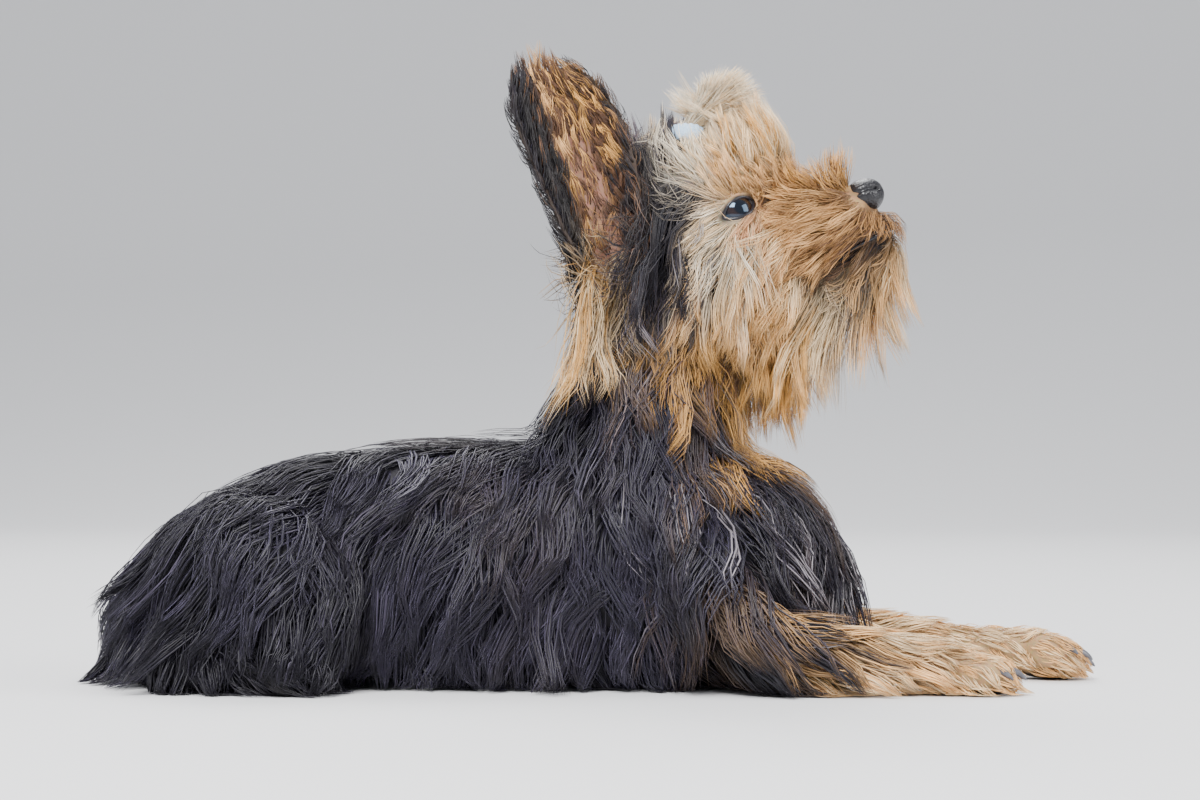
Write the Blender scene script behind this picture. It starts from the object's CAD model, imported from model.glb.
import math

import bmesh
import bpy
import numpy as np
from mathutils import Matrix, Vector
from mathutils.bvhtree import BVHTree
from mathutils.kdtree import KDTree


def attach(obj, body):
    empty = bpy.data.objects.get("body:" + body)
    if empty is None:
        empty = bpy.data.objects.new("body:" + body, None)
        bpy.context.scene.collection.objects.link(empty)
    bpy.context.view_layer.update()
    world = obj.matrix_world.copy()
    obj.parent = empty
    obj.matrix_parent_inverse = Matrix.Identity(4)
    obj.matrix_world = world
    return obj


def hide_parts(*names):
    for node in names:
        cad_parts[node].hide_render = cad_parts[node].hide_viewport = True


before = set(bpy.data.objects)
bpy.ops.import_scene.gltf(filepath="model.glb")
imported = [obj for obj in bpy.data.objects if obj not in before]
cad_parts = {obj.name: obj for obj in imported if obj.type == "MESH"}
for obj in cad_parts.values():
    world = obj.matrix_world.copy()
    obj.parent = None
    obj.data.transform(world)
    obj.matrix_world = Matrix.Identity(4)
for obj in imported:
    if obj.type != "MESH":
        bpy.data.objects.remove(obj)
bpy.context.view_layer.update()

# The skin
# A small dog's body without its coat: one closed surface from nose to tail, which everything else grows from.
# Lofts and eggs the size of its muscles are melted together, and the lids and mouth are then pressed into it.
MM = 0.001
HEAD_CENTRE = np.array([36.0, 0.0, 171.0])
HEAD_PITCH = math.radians(24.0)
SKIN_VOXEL = 1.36
EYE_CENTRE = (14.6, 14.8, -10.2)
EYE_RADIUS = 8.0
EYE_LOOK = (0.52, 0.85, 0.12)
EYE_HALF_WIDTH = 6.9
EYE_HALF_HEIGHT = 3.5
EYE_TILT = math.radians(6.0)
EAR_BASE = (-33.0, 27.0, -7.0)
EAR_TIP = (-26.0, 41.0, 60.5)
EAR_OPENING = (0.42, 0.88, 0.05)
EAR_HEIGHTS = (-0.12, 0.0, 0.2, 0.4, 0.6, 0.78, 0.92, 1.0)
EAR_WIDTHS = (13, 18, 21, 22, 21.5, 20, 17, 11.5)
EAR_FOLDS = (84, 84, 74, 62, 50, 40, 32, 26)
EAR_THICKNESS = 3.2
TRUNK = [
    # x, lowest z, highest z, half breadth
    (-166, 8, 18, 8),
    (-158, 5, 28, 18),
    (-147, 3, 46, 28),
    (-132, 2, 62, 33),
    (-100, 2, 77, 36),
    (-73, 2, 82, 36),
    (-40, 2, 84, 37),
    (-10, 2, 84, 39),
    (20, 2, 84, 40),
    (48, 4, 79, 38),
    (68, 9, 69, 32),
    (80, 17, 56, 22),
    (86, 27, 47, 11),
]
NECK = [(14, 0, 60, 33, 37), (21, 0, 92, 27, 29), (25, 0, 120, 21, 23), (28, 0, 148, 14, 17)]
UPPER_ARM = [(-20, 14, 30, 12, 15), (-9, 5, 15, 10, 12), (0, 0, 0, 8.5, 9.5)]
FOREARM = [(-4, 0, 1, 7, 8), (8, 1, 0, 9, 9), (28, 3, -2.5, 7.5, 8), (52, 8, -4, 7, 7.5), (64, 10, -4, 6.5, 7)]
ELBOWS = ((63, -47, 15.5), (78, 45, 15.5))
THIGH = [(-128, 28, 48, 18, 22), (-108, 38, 40, 18, 21), (-88, 44, 28, 13, 15)]
SHANK = [(-88, 44, 26, 11, 13), (-114, 48, 19, 8, 8), (-141, 48, 12, 6, 6)]
FOOT = [(-143, 50, 10, 6.5, 6.5), (-132, 52, 7, 5.5, 5.5), (-120, 53, 7, 5.5, 5.5)]
TAIL = [(-152, 0, 42, 6, 6), (-165, 6, 33, 5, 5), (-172, 17, 20, 4.5, 4.5), (-169, 31, 9, 4, 4), (-155, 43, 6, 3.4, 3.4)]
PAWS = (((126, -36, 0.0), -3, -4, 1.0), ((154, 29, 1.6), -12, -24, 1.0), ((-112, -54, 0.0), -4, -3, 0.92), ((-112, 54, 0.0), 4, 3, 0.92))
TOES = ((14.0, -8.4, -0.8), (18.5, -3.2, -0.3), (18.5, 3.2, 0.3), (14.0, 8.4, 0.8))
MUZZLE = [(18, 0, -14, 15, 14), (33, 0, -19, 12, 12), (48, 0, -24, 10, 10), (58.5, 0, -27.5, 8.6, 10)]
JAW = [(-6, 0, -32, 16, 9), (20, 0, -38, 12, 9), (42, 0, -42, 8.0, 7), (59, 0, -42.5, 7.0, 6.2)]


def head_turn():
    """The head's own axes (forwards, left, up) as columns in the world: a turn nose-up about the y axis."""
    c, s = math.cos(HEAD_PITCH), math.sin(HEAD_PITCH)
    return np.array([[c, 0.0, -s], [0.0, 1.0, 0.0], [s, 0.0, c]])


def on_head(forward, left, up):
    """World place in millimetres of a point on the head's own axes: centre plus the turned offset."""
    return HEAD_CENTRE + head_turn() @ np.array([forward, left, up], float)


def paw_turn(heading, roll):
    """Columns of a paw's axes: a turn about z by its heading, then a roll about its own length."""
    h, r = math.radians(heading), math.radians(roll)
    about_z = np.array([[math.cos(h), -math.sin(h), 0], [math.sin(h), math.cos(h), 0], [0, 0, 1.0]])
    about_x = np.array([[1.0, 0, 0], [0, math.cos(r), -math.sin(r)], [0, math.sin(r), math.cos(r)]])
    return about_z @ about_x


def smooth_rows(rows, count):
    """Rows of numbers, evenly spaced by length along a Catmull-Rom curve through the given rows."""
    rows = np.array(rows, float)
    run = np.concatenate([[0.0], np.cumsum(np.linalg.norm(np.diff(rows[:, :3], axis=0), axis=1))])
    padded = np.vstack([2 * rows[0] - rows[1], rows, 2 * rows[-1] - rows[-2]])
    at = np.linspace(0.0, run[-1], count)
    i = np.clip(np.searchsorted(run, at, side="right") - 1, 0, len(rows) - 2)
    t = ((at - run[i]) / (run[i + 1] - run[i]))[:, None]
    a, b, c, d = padded[i], padded[i + 1], padded[i + 2], padded[i + 3]
    return 0.5 * (2 * b + (c - a) * t + (2 * a - 5 * b + 4 * c - d) * t**2 + (3 * b - a - 3 * c + d) * t**3)


def grid_faces(rings, sides, start):
    """Quads of a tube whose rings of points follow each other from start, closed round each ring."""
    r, k = np.meshgrid(np.arange(rings - 1), np.arange(sides), indexing="ij")
    a = start + r * sides + k
    b = start + r * sides + (k + 1) % sides
    return np.stack([a, b, b + sides, a + sides], axis=-1).reshape(-1, 4).tolist()


def limb(rows, count=14, sides=20, power=2.0):
    """Tube along a smooth line: ring point = centre + side a cos^(2/p) + up b sin^(2/p), domed at both ends."""
    rows = smooth_rows(rows, count)
    along = np.gradient(rows[:, :3], axis=0)
    along /= np.linalg.norm(along, axis=1)[:, None]
    side = np.array([0.0, 1.0, 0.0]) - along * along[:, 1:2]
    side /= np.linalg.norm(side, axis=1)[:, None]
    up = np.cross(along, side)
    turn = np.linspace(0.0, 2 * math.pi, sides, endpoint=False)
    c, s = np.cos(turn), np.sin(turn)
    across = np.sign(c) * np.abs(c) ** (2 / power)
    deep = np.sign(s) * np.abs(s) ** (2 / power)
    ring = rows[:, None, :3] + side[:, None] * (across[None, :, None] * rows[:, 3, None, None])
    ring = ring + up[:, None] * (deep[None, :, None] * rows[:, 4, None, None])
    dome = np.minimum(rows[[0, -1], 3], rows[[0, -1], 4]) * 0.6
    start = rows[0, :3] - along[0] * dome[0]
    end = rows[-1, :3] + along[-1] * dome[1]
    points = np.vstack([start[None], ring.reshape(-1, 3), end[None]])
    faces = [(0, 1 + (k + 1) % sides, 1 + k) for k in range(sides)]
    faces += grid_faces(count, sides, 1)
    last = 1 + (count - 1) * sides
    faces += [(len(points) - 1, last + k, last + (k + 1) % sides) for k in range(sides)]
    return points, faces


def egg(centre, radii, turn=np.eye(3), sides=24, rings=14):
    """Ellipsoid: centre + turn (a cos u sin v, b sin u sin v, c cos v)."""
    v = np.linspace(0.0, math.pi, rings + 2)[1:-1]
    u = np.linspace(0.0, 2 * math.pi, sides, endpoint=False)
    unit = np.stack([np.cos(u)[None] * np.sin(v)[:, None], np.sin(u)[None] * np.sin(v)[:, None], np.cos(v)[:, None] * np.ones(sides)[None]], axis=-1)
    unit = np.vstack([[[0.0, 0.0, 1.0]], unit.reshape(-1, 3), [[0.0, 0.0, -1.0]]])
    points = np.array(centre) + (unit * np.array(radii)) @ turn.T
    faces = [(0, 1 + k, 1 + (k + 1) % sides) for k in range(sides)]
    faces += [tuple(reversed(face)) for face in grid_faces(rings, sides, 1)]
    last = 1 + (rings - 1) * sides
    faces += [(len(points) - 1, last + (k + 1) % sides, last + k) for k in range(sides)]
    return points, faces


def ear_spot(side, s, t, out):
    """A point of the ear's leaf: up its height s, round its fold t from rear to front rim, out from its face."""
    s, t, out = np.broadcast_arrays(np.asarray(s, float), np.asarray(t, float), np.asarray(out, float))
    base, tip, opening = np.array(EAR_BASE), np.array(EAR_TIP), np.array(EAR_OPENING)
    up = (tip - base) / np.linalg.norm(tip - base)
    opening = opening - up * up.dot(opening)
    opening /= np.linalg.norm(opening)
    forward = np.cross(opening, up)
    half = np.interp(s, EAR_HEIGHTS, EAR_WIDTHS)
    fold = np.radians(np.interp(s, EAR_HEIGHTS, EAR_FOLDS))
    radius = half / fold
    a = t * fold
    sway = 2.0 * np.sin(math.pi * np.clip(s, 0.0, 1.0))
    spot = base + up * (np.linalg.norm(tip - base) * s)[..., None] + forward * (radius * np.sin(a) + sway)[..., None]
    spot = spot + opening * (radius * (1 - np.cos(a)) - 2.0)[..., None]
    spot = spot + (opening * np.cos(a)[..., None] - forward * np.sin(a)[..., None]) * out[..., None]
    spot[..., 1] *= side
    return HEAD_CENTRE + spot @ head_turn().T


def ear_leaf(side, rows=26, columns=18):
    """Closed leaf: the fold's sheet at plus half its thickness, the same sheet at minus half, and their rim."""
    s = np.linspace(-0.12, 1.0, rows)[:, None] * np.ones(columns)
    t = np.linspace(-1.0, 1.0, columns)[None] * np.ones((rows, 1))
    thick = EAR_THICKNESS * (1 - 0.35 * np.abs(t) ** 3) * (1 - 0.3 * np.clip(s, 0, 1))
    points = np.vstack([ear_spot(side, s, t, thick * half).reshape(-1, 3) for half in (0.5, -0.5)])
    far = rows * columns
    i, j = np.meshgrid(np.arange(rows - 1), np.arange(columns - 1), indexing="ij")
    a = (i * columns + j).ravel()
    front = np.stack([a, a + columns, a + columns + 1, a + 1], axis=1)
    faces = front.tolist() + (front[:, ::-1] + far).tolist()
    rim = list(range(columns)) + [r * columns + columns - 1 for r in range(1, rows)]
    rim += [(rows - 1) * columns + c for c in range(columns - 2, -1, -1)] + [r * columns for r in range(rows - 2, 0, -1)]
    faces += [(a, b, far + b, far + a) for a, b in zip(rim, rim[1:] + rim[:1])]
    if side < 0:
        faces = [tuple(reversed(face)) for face in faces]
    return points, faces


def eye_axes(side):
    """The eye's centre, its gaze, and the directions across and up its tilted opening."""
    gaze = head_turn() @ (np.array(EYE_LOOK) * (1, side, 1))
    gaze /= np.linalg.norm(gaze)
    across = np.cross(gaze, head_turn()[:, 2]) * side
    across /= np.linalg.norm(across)
    up = np.cross(across, gaze) * side
    tilt = EYE_TILT
    across, up = across * math.cos(tilt) + up * math.sin(tilt), up * math.cos(tilt) - across * math.sin(tilt)
    return on_head(EYE_CENTRE[0], EYE_CENTRE[1] * side, EYE_CENTRE[2]), gaze, across, up


flesh = [limb([(x, 0, (low + high) / 2, half, (high - low) / 2) for x, low, high, half in TRUNK], 30, 40, 2.25)]
flesh.append(limb(NECK, 16, 32))
flesh.append(limb(TAIL, 24, 14))
for elbow in ELBOWS:
    inner = -1 if elbow[1] > 0 else 1
    for rows in (UPPER_ARM, FOREARM):
        flesh.append(limb([(elbow[0] + x, elbow[1] + y * inner, elbow[2] + z, a, b) for x, y, z, a, b in rows]))
for side in (-1, 1):
    for rows in (THIGH, SHANK, FOOT):
        flesh.append(limb([(x, y * side, z, a, b) for x, y, z, a, b in rows]))
for place, heading, roll, k in PAWS:
    turn = paw_turn(heading, roll)
    parts = [((4, 0, 9.2), (14, 9.2, 7.8)), ((-9, 0, 11), (8, 7.6, 7)), ((9, 0, 3.2), (6.6, 7, 3.4))]
    for forward, left, _ in TOES:
        parts += [((forward, left, 7.0), (8.0, 4.1, 6.0)), ((forward + 1, left, 2.4), (4.2, 3.1, 2.6))]
    for centre, radii in parts:
        flesh.append(egg(np.array(place) + turn @ (np.array(centre) * k), np.array(radii) * k, turn))
turn = head_turn()
for rows in (MUZZLE, JAW):
    flesh.append(limb([(*on_head(*row[:3]), row[3], row[4]) for row in rows], 16, 26))
for centre, radii in (
    ((-8, 0, 0), (34, 26, 25)),
    ((19, 0, 4), (20.5, 19, 19)),
    ((-8, 0, -23), (22, 19, 17)),
    ((24, 0, -31), (18, 11, 9)),
    ((38, 0, -45), (20, 7.5, 10)),
    ((14, 0, -45), (20, 15, 15)),
    ((56, 0, -36), (8.5, 9.5, 8)),
):
    flesh.append(egg(on_head(*centre), radii, turn))
for side in (-1, 1):
    for centre, radii in (
        ((7, 14, -25), (17.5, 10.5, 11.5)),
        ((41, 7, -30), (16, 5.4, 7.8)),
        ((21, 12, 1.5), (8, 7, 5.6)),
        ((-26, 16, -8), (12, 9, 12)),
        (EYE_CENTRE, (EYE_RADIUS + 1.4,) * 3),
    ):
        flesh.append(egg(on_head(centre[0], centre[1] * side, centre[2]), radii, turn))
    flesh.append(ear_leaf(side))

points, faces = [], []
for part_points, part_faces in flesh:
    start = sum(len(p) for p in points)
    points.append(part_points * MM)
    faces += [[start + i for i in face] for face in part_faces]
mesh = bpy.data.meshes.new("skin")
mesh.from_pydata(np.vstack(points).tolist(), [], faces)
skin = bpy.data.objects.new("skin", mesh)
bpy.context.scene.collection.objects.link(skin)
melt = skin.modifiers.new("melt", "REMESH")
melt.mode = "VOXEL"
melt.voxel_size = SKIN_VOXEL * MM
relax = skin.modifiers.new("relax", "SMOOTH")
relax.factor = 0.5
relax.iterations = 5
skin.data = bpy.data.meshes.new_from_object(skin.evaluated_get(bpy.context.evaluated_depsgraph_get()))
skin.modifiers.clear()
skin.data.shade_smooth()


def points_of(mesh):
    """All vertex places of a mesh as one array, in millimetres."""
    flat = np.empty(len(mesh.vertices) * 3, np.float32)
    mesh.vertices.foreach_get("co", flat)
    return flat.reshape(-1, 3).astype(float) / MM


def put_points(mesh, points):
    mesh.vertices.foreach_set("co", (points * MM).astype(np.float32).ravel())
    mesh.update()


spots = points_of(skin.data)
for side in (-1, 1):
    centre, gaze, across, up = eye_axes(side)
    away = spots - centre
    reach = np.linalg.norm(away, axis=1)
    ahead = away @ gaze
    ring = np.hypot(away @ across / EYE_HALF_WIDTH, away @ up / EYE_HALF_HEIGHT)
    near = (reach < 17) & (ahead > 1)
    lid = EYE_RADIUS + 1.3 * np.clip((ring - 0.9) / 0.35, 0, 1)
    sunk = np.where(ring < 0.9, EYE_RADIUS - 2.2, lid)
    blend = np.clip((1.9 - ring) / 0.6, 0, 1) * near
    wanted = centre + away / np.maximum(reach, 1e-6)[:, None] * sunk[:, None]
    spots = spots + (wanted - spots) * blend[:, None]
spots[:, 2] = np.maximum(spots[:, 2], 0.0)
put_points(skin.data, spots)

# The lie of the coat
# Every patch of skin has its own hair: which way it runs, how long, how deep it lies, how it waves, its colours.
# Each guide below says this for one place; hair between guides takes a mix that leans to the nearest ones.
STEEL = (0.0070, 0.0054, 0.0108)
SMOKE = (0.060, 0.050, 0.080)
SILVER = (0.26, 0.235, 0.25)
SOOT = (0.010, 0.008, 0.008)
UMBER = (0.140, 0.064, 0.025)
RUST = (0.50, 0.255, 0.085)
GOLD = (0.76, 0.40, 0.105)
TAN = (0.84, 0.48, 0.19)
CREAM = (0.94, 0.69, 0.40)
PALE = (0.96, 0.84, 0.65)
PEACH = (0.90, 0.47, 0.23)
ASH = (0.30, 0.225, 0.155)
PINK = (0.40, 0.20, 0.13)


def head_guide(group, forward, left, up, *rest):
    """A guide whose place is given on the head's own axes."""
    return (group, *on_head(forward, left, up), *rest)


GUIDES = [
    # group, place (mm), direction, length, depth of coat, stand, wave, blade width, hairs a cm2, colour, fleck, share
    ("trunk", -150, 8, 60, -0.50, 0.38, -0.78, 42, 6, 0.20, 1.3, 0.66, 27, STEEL, SMOKE, 0.10),
    ("trunk", -120, 3, 84, -0.48, 0.62, -0.62, 46, 5, 0.15, 1.3, 0.66, 27, STEEL, SMOKE, 0.10),
    ("trunk", -60, 3, 90, -0.38, 0.75, -0.55, 50, 5, 0.15, 1.3, 0.66, 27, STEEL, SMOKE, 0.08),
    ("trunk", 0, 4, 90, -0.35, 0.75, -0.55, 50, 5, 0.15, 1.3, 0.66, 27, STEEL, SMOKE, 0.08),
    ("trunk", -160, 14, 30, -0.40, 0.30, -0.88, 38, 8, 0.20, 1.5, 0.66, 27, STEEL, SMOKE, 0.10),
    ("trunk", -158, 26, 14, -0.35, 0.40, -0.85, 28, 8, 0.20, 1.5, 0.66, 26, STEEL, SMOKE, 0.10),
    ("trunk", -140, 34, 50, -0.50, 0.15, -0.85, 56, 9, 0.15, 1.6, 0.66, 27, STEEL, SMOKE, 0.10),
    ("trunk", -100, 40, 60, -0.35, 0.15, -0.92, 60, 8, 0.12, 1.5, 0.66, 27, STEEL, SMOKE, 0.08),
    ("trunk", -100, 46, 22, -0.15, 0.15, -0.95, 40, 9, 0.12, 1.7, 0.66, 26, STEEL, SMOKE, 0.10),
    ("trunk", -40, 42, 60, -0.32, 0.15, -0.94, 62, 8, 0.12, 1.5, 0.66, 27, STEEL, SMOKE, 0.07),
    ("trunk", -40, 44, 22, -0.10, 0.15, -0.95, 42, 9, 0.12, 1.7, 0.66, 26, STEEL, SMOKE, 0.08),
    ("trunk", 15, 44, 60, -0.12, 0.12, -0.98, 58, 8, 0.12, 1.5, 0.66, 27, STEEL, SMOKE, 0.10),
    ("trunk", 15, 46, 22, 0.15, 0.15, -0.95, 42, 9, 0.12, 1.7, 0.66, 26, STEEL, SMOKE, 0.10),
    ("trunk", 50, 36, 66, 0.10, 0.12, -0.98, 52, 9, 0.12, 1.6, 0.76, 27, STEEL, SILVER, 0.12),
    ("trunk", 60, 34, 40, 0.25, 0.12, -0.95, 46, 9, 0.15, 1.7, 0.76, 27, STEEL, SILVER, 0.22),
    ("trunk", 82, 14, 58, 0.18, 0.08, -0.98, 44, 10, 0.15, 1.6, 0.74, 28, STEEL, SILVER, 0.20),
    ("trunk", 86, 12, 36, 0.20, 0.10, -0.97, 36, 10, 0.15, 1.6, 0.76, 27, STEEL, SILVER, 0.22),
    ("trunk", 60, 20, 14, 0.40, 0.20, -0.85, 26, 6, 0.15, 1.3, 0.76, 22, STEEL, SILVER, 0.15),
    ("trunk", -60, 20, 2, 0.00, 0.60, -0.30, 14, 3, 0.10, 0.4, 0.75, 6, STEEL, SMOKE, 0.05),
    ("neck", -4, 4, 112, -0.20, 0.25, -0.95, 40, 9, 0.20, 1.6, 0.55, 46, STEEL, SMOKE, 0.16),
    ("neck", 0, 22, 108, -0.15, 0.15, -0.98, 46, 10, 0.20, 1.6, 0.55, 46, STEEL, SMOKE, 0.16),
    ("neck", 26, 28, 108, 0.05, 0.12, -0.99, 48, 10, 0.15, 1.7, 0.52, 50, STEEL, SILVER, 0.18),
    ("neck", 24, 32, 82, 0.05, 0.15, -0.98, 50, 9, 0.15, 1.6, 0.55, 44, STEEL, SILVER, 0.16),
    ("neck", 46, 18, 104, 0.15, 0.10, -0.98, 46, 10, 0.15, 1.5, 0.44, 56, STEEL, SILVER, 0.26),
    ("neck", 54, 10, 88, 0.18, 0.10, -0.98, 44, 10, 0.15, 1.6, 0.44, 54, GOLD, STEEL, 0.35),
    ("neck", 58, 14, 72, 0.18, 0.10, -0.98, 44, 10, 0.15, 1.5, 0.46, 50, STEEL, SILVER, 0.24),
    ("neck", 44, 14, 126, 0.10, 0.10, -0.98, 42, 11, 0.20, 1.7, 0.44, 62, GOLD, UMBER, 0.45),
    ("neck", 56, 4, 112, 0.15, 0.05, -0.98, 40, 11, 0.20, 1.8, 0.42, 64, GOLD, CREAM, 0.40),
    ("neck", 50, 20, 116, 0.12, 0.10, -0.98, 40, 11, 0.20, 1.8, 0.42, 60, GOLD, SOOT, 0.40),
    head_guide("cheek", 26, 18, -21, -0.12, 0.20, -0.97, 24, 5, 0.25, 0.7, 0.30, 165, PEACH, CREAM, 0.50),
    head_guide("cheek", 12, 24, -22, -0.10, 0.20, -0.98, 37, 8, 0.25, 0.9, 0.34, 150, CREAM, PALE, 0.50),
    head_guide("cheek", 2, 27, -16, -0.12, 0.20, -0.96, 40, 8, 0.25, 1.1, 0.34, 120, PALE, SMOKE, 0.35),
    head_guide("cheek", 22, 16, -38, -0.10, 0.15, -0.98, 30, 8, 0.25, 0.9, 0.32, 150, CREAM, TAN, 0.50),
    head_guide("cheek", 10, 20, -38, -0.08, 0.15, -0.98, 34, 8, 0.25, 1.0, 0.34, 140, TAN, PALE, 0.45),
    head_guide("cheek", -4, 20, -36, 0.00, 0.15, -0.98, 36, 8, 0.25, 1.3, 0.38, 105, SOOT, GOLD, 0.25),
    head_guide("cheek", -14, 18, -34, 0.00, 0.20, -0.98, 36, 7, 0.20, 1.3, 0.42, 82, STEEL, SMOKE, 0.20),
    head_guide("face", 21, 21, -17, -0.40, 0.25, -0.75, 9, 2.2, 0.15, 0.3, 0.24, 240, PEACH, CREAM, 0.30),
    head_guide("face", 10, 25, -10, -0.65, 0.20, -0.50, 13, 3, 0.20, 0.4, 0.26, 230, CREAM, PALE, 0.50),
    head_guide("face", 27, 14, -14, -0.50, 0.40, -0.60, 7, 1.6, 0.12, 0.2, 0.22, 260, PEACH, TAN, 0.45),
    head_guide("face", 29.5, 11, -10.5, -0.60, 0.50, -0.20, 4, 0.8, 0.08, 0.2, 0.22, 240, SOOT, UMBER, 0.50),
    head_guide("face", 35, 9, -8, -0.30, 0.50, 0.50, 7, 1.5, 0.20, 0.2, 0.24, 240, RUST, TAN, 0.45),
    head_guide("face", 26, 14, -3, -0.35, 0.45, 0.55, 8, 2.0, 0.20, 0.2, 0.24, 240, TAN, RUST, 0.35),
    head_guide("face", 20, 20, -1, -0.45, 0.30, 0.60, 10, 3, 0.20, 0.3, 0.26, 230, TAN, GOLD, 0.50),
    head_guide("face", 25, 17, 3, -0.30, 0.20, 0.90, 17, 5, 0.30, 0.4, 0.28, 205, CREAM, GOLD, 0.45),
    head_guide("face", 34, 9, 4, -0.42, 0.12, 0.90, 22, 8, 0.40, 0.5, 0.30, 195, CREAM, GOLD, 0.40),
    head_guide("face", 38, 2, 8, -0.45, 0.05, 0.88, 24, 8, 0.40, 0.6, 0.30, 185, CREAM, PALE, 0.50),
    head_guide("face", 12, 23, 8, -0.50, -0.10, 0.80, 18, 5, 0.25, 0.6, 0.30, 180, PALE, CREAM, 0.50),
    head_guide("face", 30, 7, 19, -0.82, -0.10, 0.52, 26, 9, 0.30, 0.7, 0.32, 165, CREAM, PALE, 0.55),
    head_guide("crown", 15, 16, 17, -0.10, -0.45, 0.80, 15, 4, 0.20, 0.6, 0.32, 150, PALE, CREAM, 0.45),
    head_guide("crown", 11, 10, 23, 0.10, -0.30, 0.80, 6, 2, 0.10, 0.4, 0.32, 140, PALE, ASH, 0.30),
    head_guide("crown", 0, 18, 18, 0.20, -0.40, 0.85, 22, 5, 0.25, 0.9, 0.34, 120, PALE, STEEL, 0.55),
    head_guide("crown", -10, 20, 12, -0.20, 0.20, 0.75, 20, 6, 0.30, 1.1, 0.34, 110, STEEL, SMOKE, 0.35),
    head_guide("crown", -14, 6, 24, 0.60, -0.10, 0.50, 20, 5, 0.25, 0.6, 0.36, 110, SMOKE, CREAM, 0.35),
    head_guide("crown", -34, 8, 12, -0.25, 0.10, -0.90, 18, 5, 0.20, 1.2, 0.45, 80, STEEL, SMOKE, 0.30),
    head_guide("crown", -38, 8, -8, -0.08, 0.15, -0.98, 26, 6, 0.20, 1.4, 0.48, 70, STEEL, SMOKE, 0.20),
    head_guide("crown", -30, 18, -22, -0.05, 0.15, -0.98, 32, 6, 0.20, 1.6, 0.48, 70, STEEL, GOLD, 0.25),
    head_guide("crown", 2, 27, 2, -0.25, 0.25, -0.92, 34, 7, 0.25, 1.4, 0.34, 112, STEEL, SILVER, 0.20),
    head_guide("crown", -8, 27, -6, -0.12, 0.25, -0.96, 44, 8, 0.25, 1.4, 0.35, 112, STEEL, SILVER, 0.16),
    head_guide("crown", -14, 27, -16, -0.05, 0.25, -0.96, 44, 8, 0.25, 1.4, 0.38, 102, SOOT, SMOKE, 0.25),
    head_guide("muzzle", 60, 4, -16, 0.05, 0.30, 0.90, 12, 7, 0.80, 0.3, 0.25, 235, RUST, TAN, 0.45),
    head_guide("muzzle", 53, 3, -15, -0.10, 0.20, 0.95, 16, 8, 0.85, 0.4, 0.26, 225, GOLD, UMBER, 0.45),
    head_guide("muzzle", 44, 5, -13, -0.55, 0.40, 0.65, 14, 5.5, 0.45, 0.4, 0.27, 230, GOLD, RUST, 0.50),
    head_guide("muzzle", 38, 10, -14, -0.65, 0.65, 0.10, 14, 4, 0.30, 0.5, 0.27, 220, TAN, RUST, 0.45),
    head_guide("muzzle", 60, 8, -20, -0.45, 0.70, 0.35, 11, 5.5, 0.55, 0.4, 0.25, 240, RUST, UMBER, 0.35),
    head_guide("muzzle", 60, 7, -28, -0.40, 0.60, -0.55, 12, 6, 0.45, 0.4, 0.25, 230, RUST, UMBER, 0.35),
    head_guide("muzzle", 54, 9, -25, -0.85, 0.45, -0.35, 20, 5, 0.25, 0.6, 0.27, 215, TAN, RUST, 0.55),
    head_guide("muzzle", 44, 11, -22, -0.82, 0.30, -0.45, 26, 6, 0.25, 0.7, 0.28, 210, TAN, RUST, 0.45),
    head_guide("muzzle", 34, 14, -24, -0.65, 0.25, -0.70, 28, 7, 0.28, 0.8, 0.30, 190, TAN, CREAM, 0.45),
    head_guide("muzzle", 63, 2, -33, 0.35, 0.25, -0.88, 11, 6.5, 0.70, 0.3, 0.25, 240, RUST, UMBER, 0.45),
    head_guide("muzzle", 61, 6, -33, 0.10, 0.60, -0.75, 10, 6.5, 0.65, 0.3, 0.25, 230, RUST, UMBER, 0.40),
    head_guide("muzzle", 59, 6, -38.5, -0.74, 0.30, -0.67, 4, 1.0, 0.08, 0.2, 0.26, 200, SOOT, UMBER, 0.25),
    head_guide("muzzle", 50, 9, -40.5, -0.74, 0.20, -0.67, 5, 1.0, 0.08, 0.2, 0.26, 200, SOOT, UMBER, 0.25),
    head_guide("muzzle", 40, 11, -44, -0.74, 0.20, -0.67, 5, 1.2, 0.08, 0.2, 0.26, 200, SOOT, UMBER, 0.35),
    head_guide("muzzle", 50, 9, -32, -0.78, 0.25, -0.60, 16, 5, 0.20, 0.6, 0.28, 210, RUST, UMBER, 0.40),
    head_guide("muzzle", 40, 12, -34, -0.76, 0.25, -0.62, 20, 6, 0.22, 0.7, 0.29, 200, RUST, TAN, 0.45),
    head_guide("beard", 59, 3, -46, 0.26, 0.15, -0.94, 30, 9.5, 0.50, 0.9, 0.30, 260, TAN, CREAM, 0.40),
    head_guide("beard", 50, 8, -46, 0.10, 0.20, -0.97, 45, 8, 0.28, 1.2, 0.32, 190, TAN, ASH, 0.40),
    head_guide("beard", 38, 9, -49, -0.05, 0.15, -0.98, 50, 8, 0.25, 1.4, 0.34, 145, CREAM, ASH, 0.40),
    head_guide("beard", 26, 10, -54, -0.10, 0.15, -0.98, 40, 8, 0.25, 1.2, 0.34, 130, GOLD, CREAM, 0.40),
    head_guide("beard", 10, 10, -54, 0.00, 0.15, -0.98, 36, 8, 0.25, 1.6, 0.38, 110, GOLD, UMBER, 0.40),
]
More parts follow.
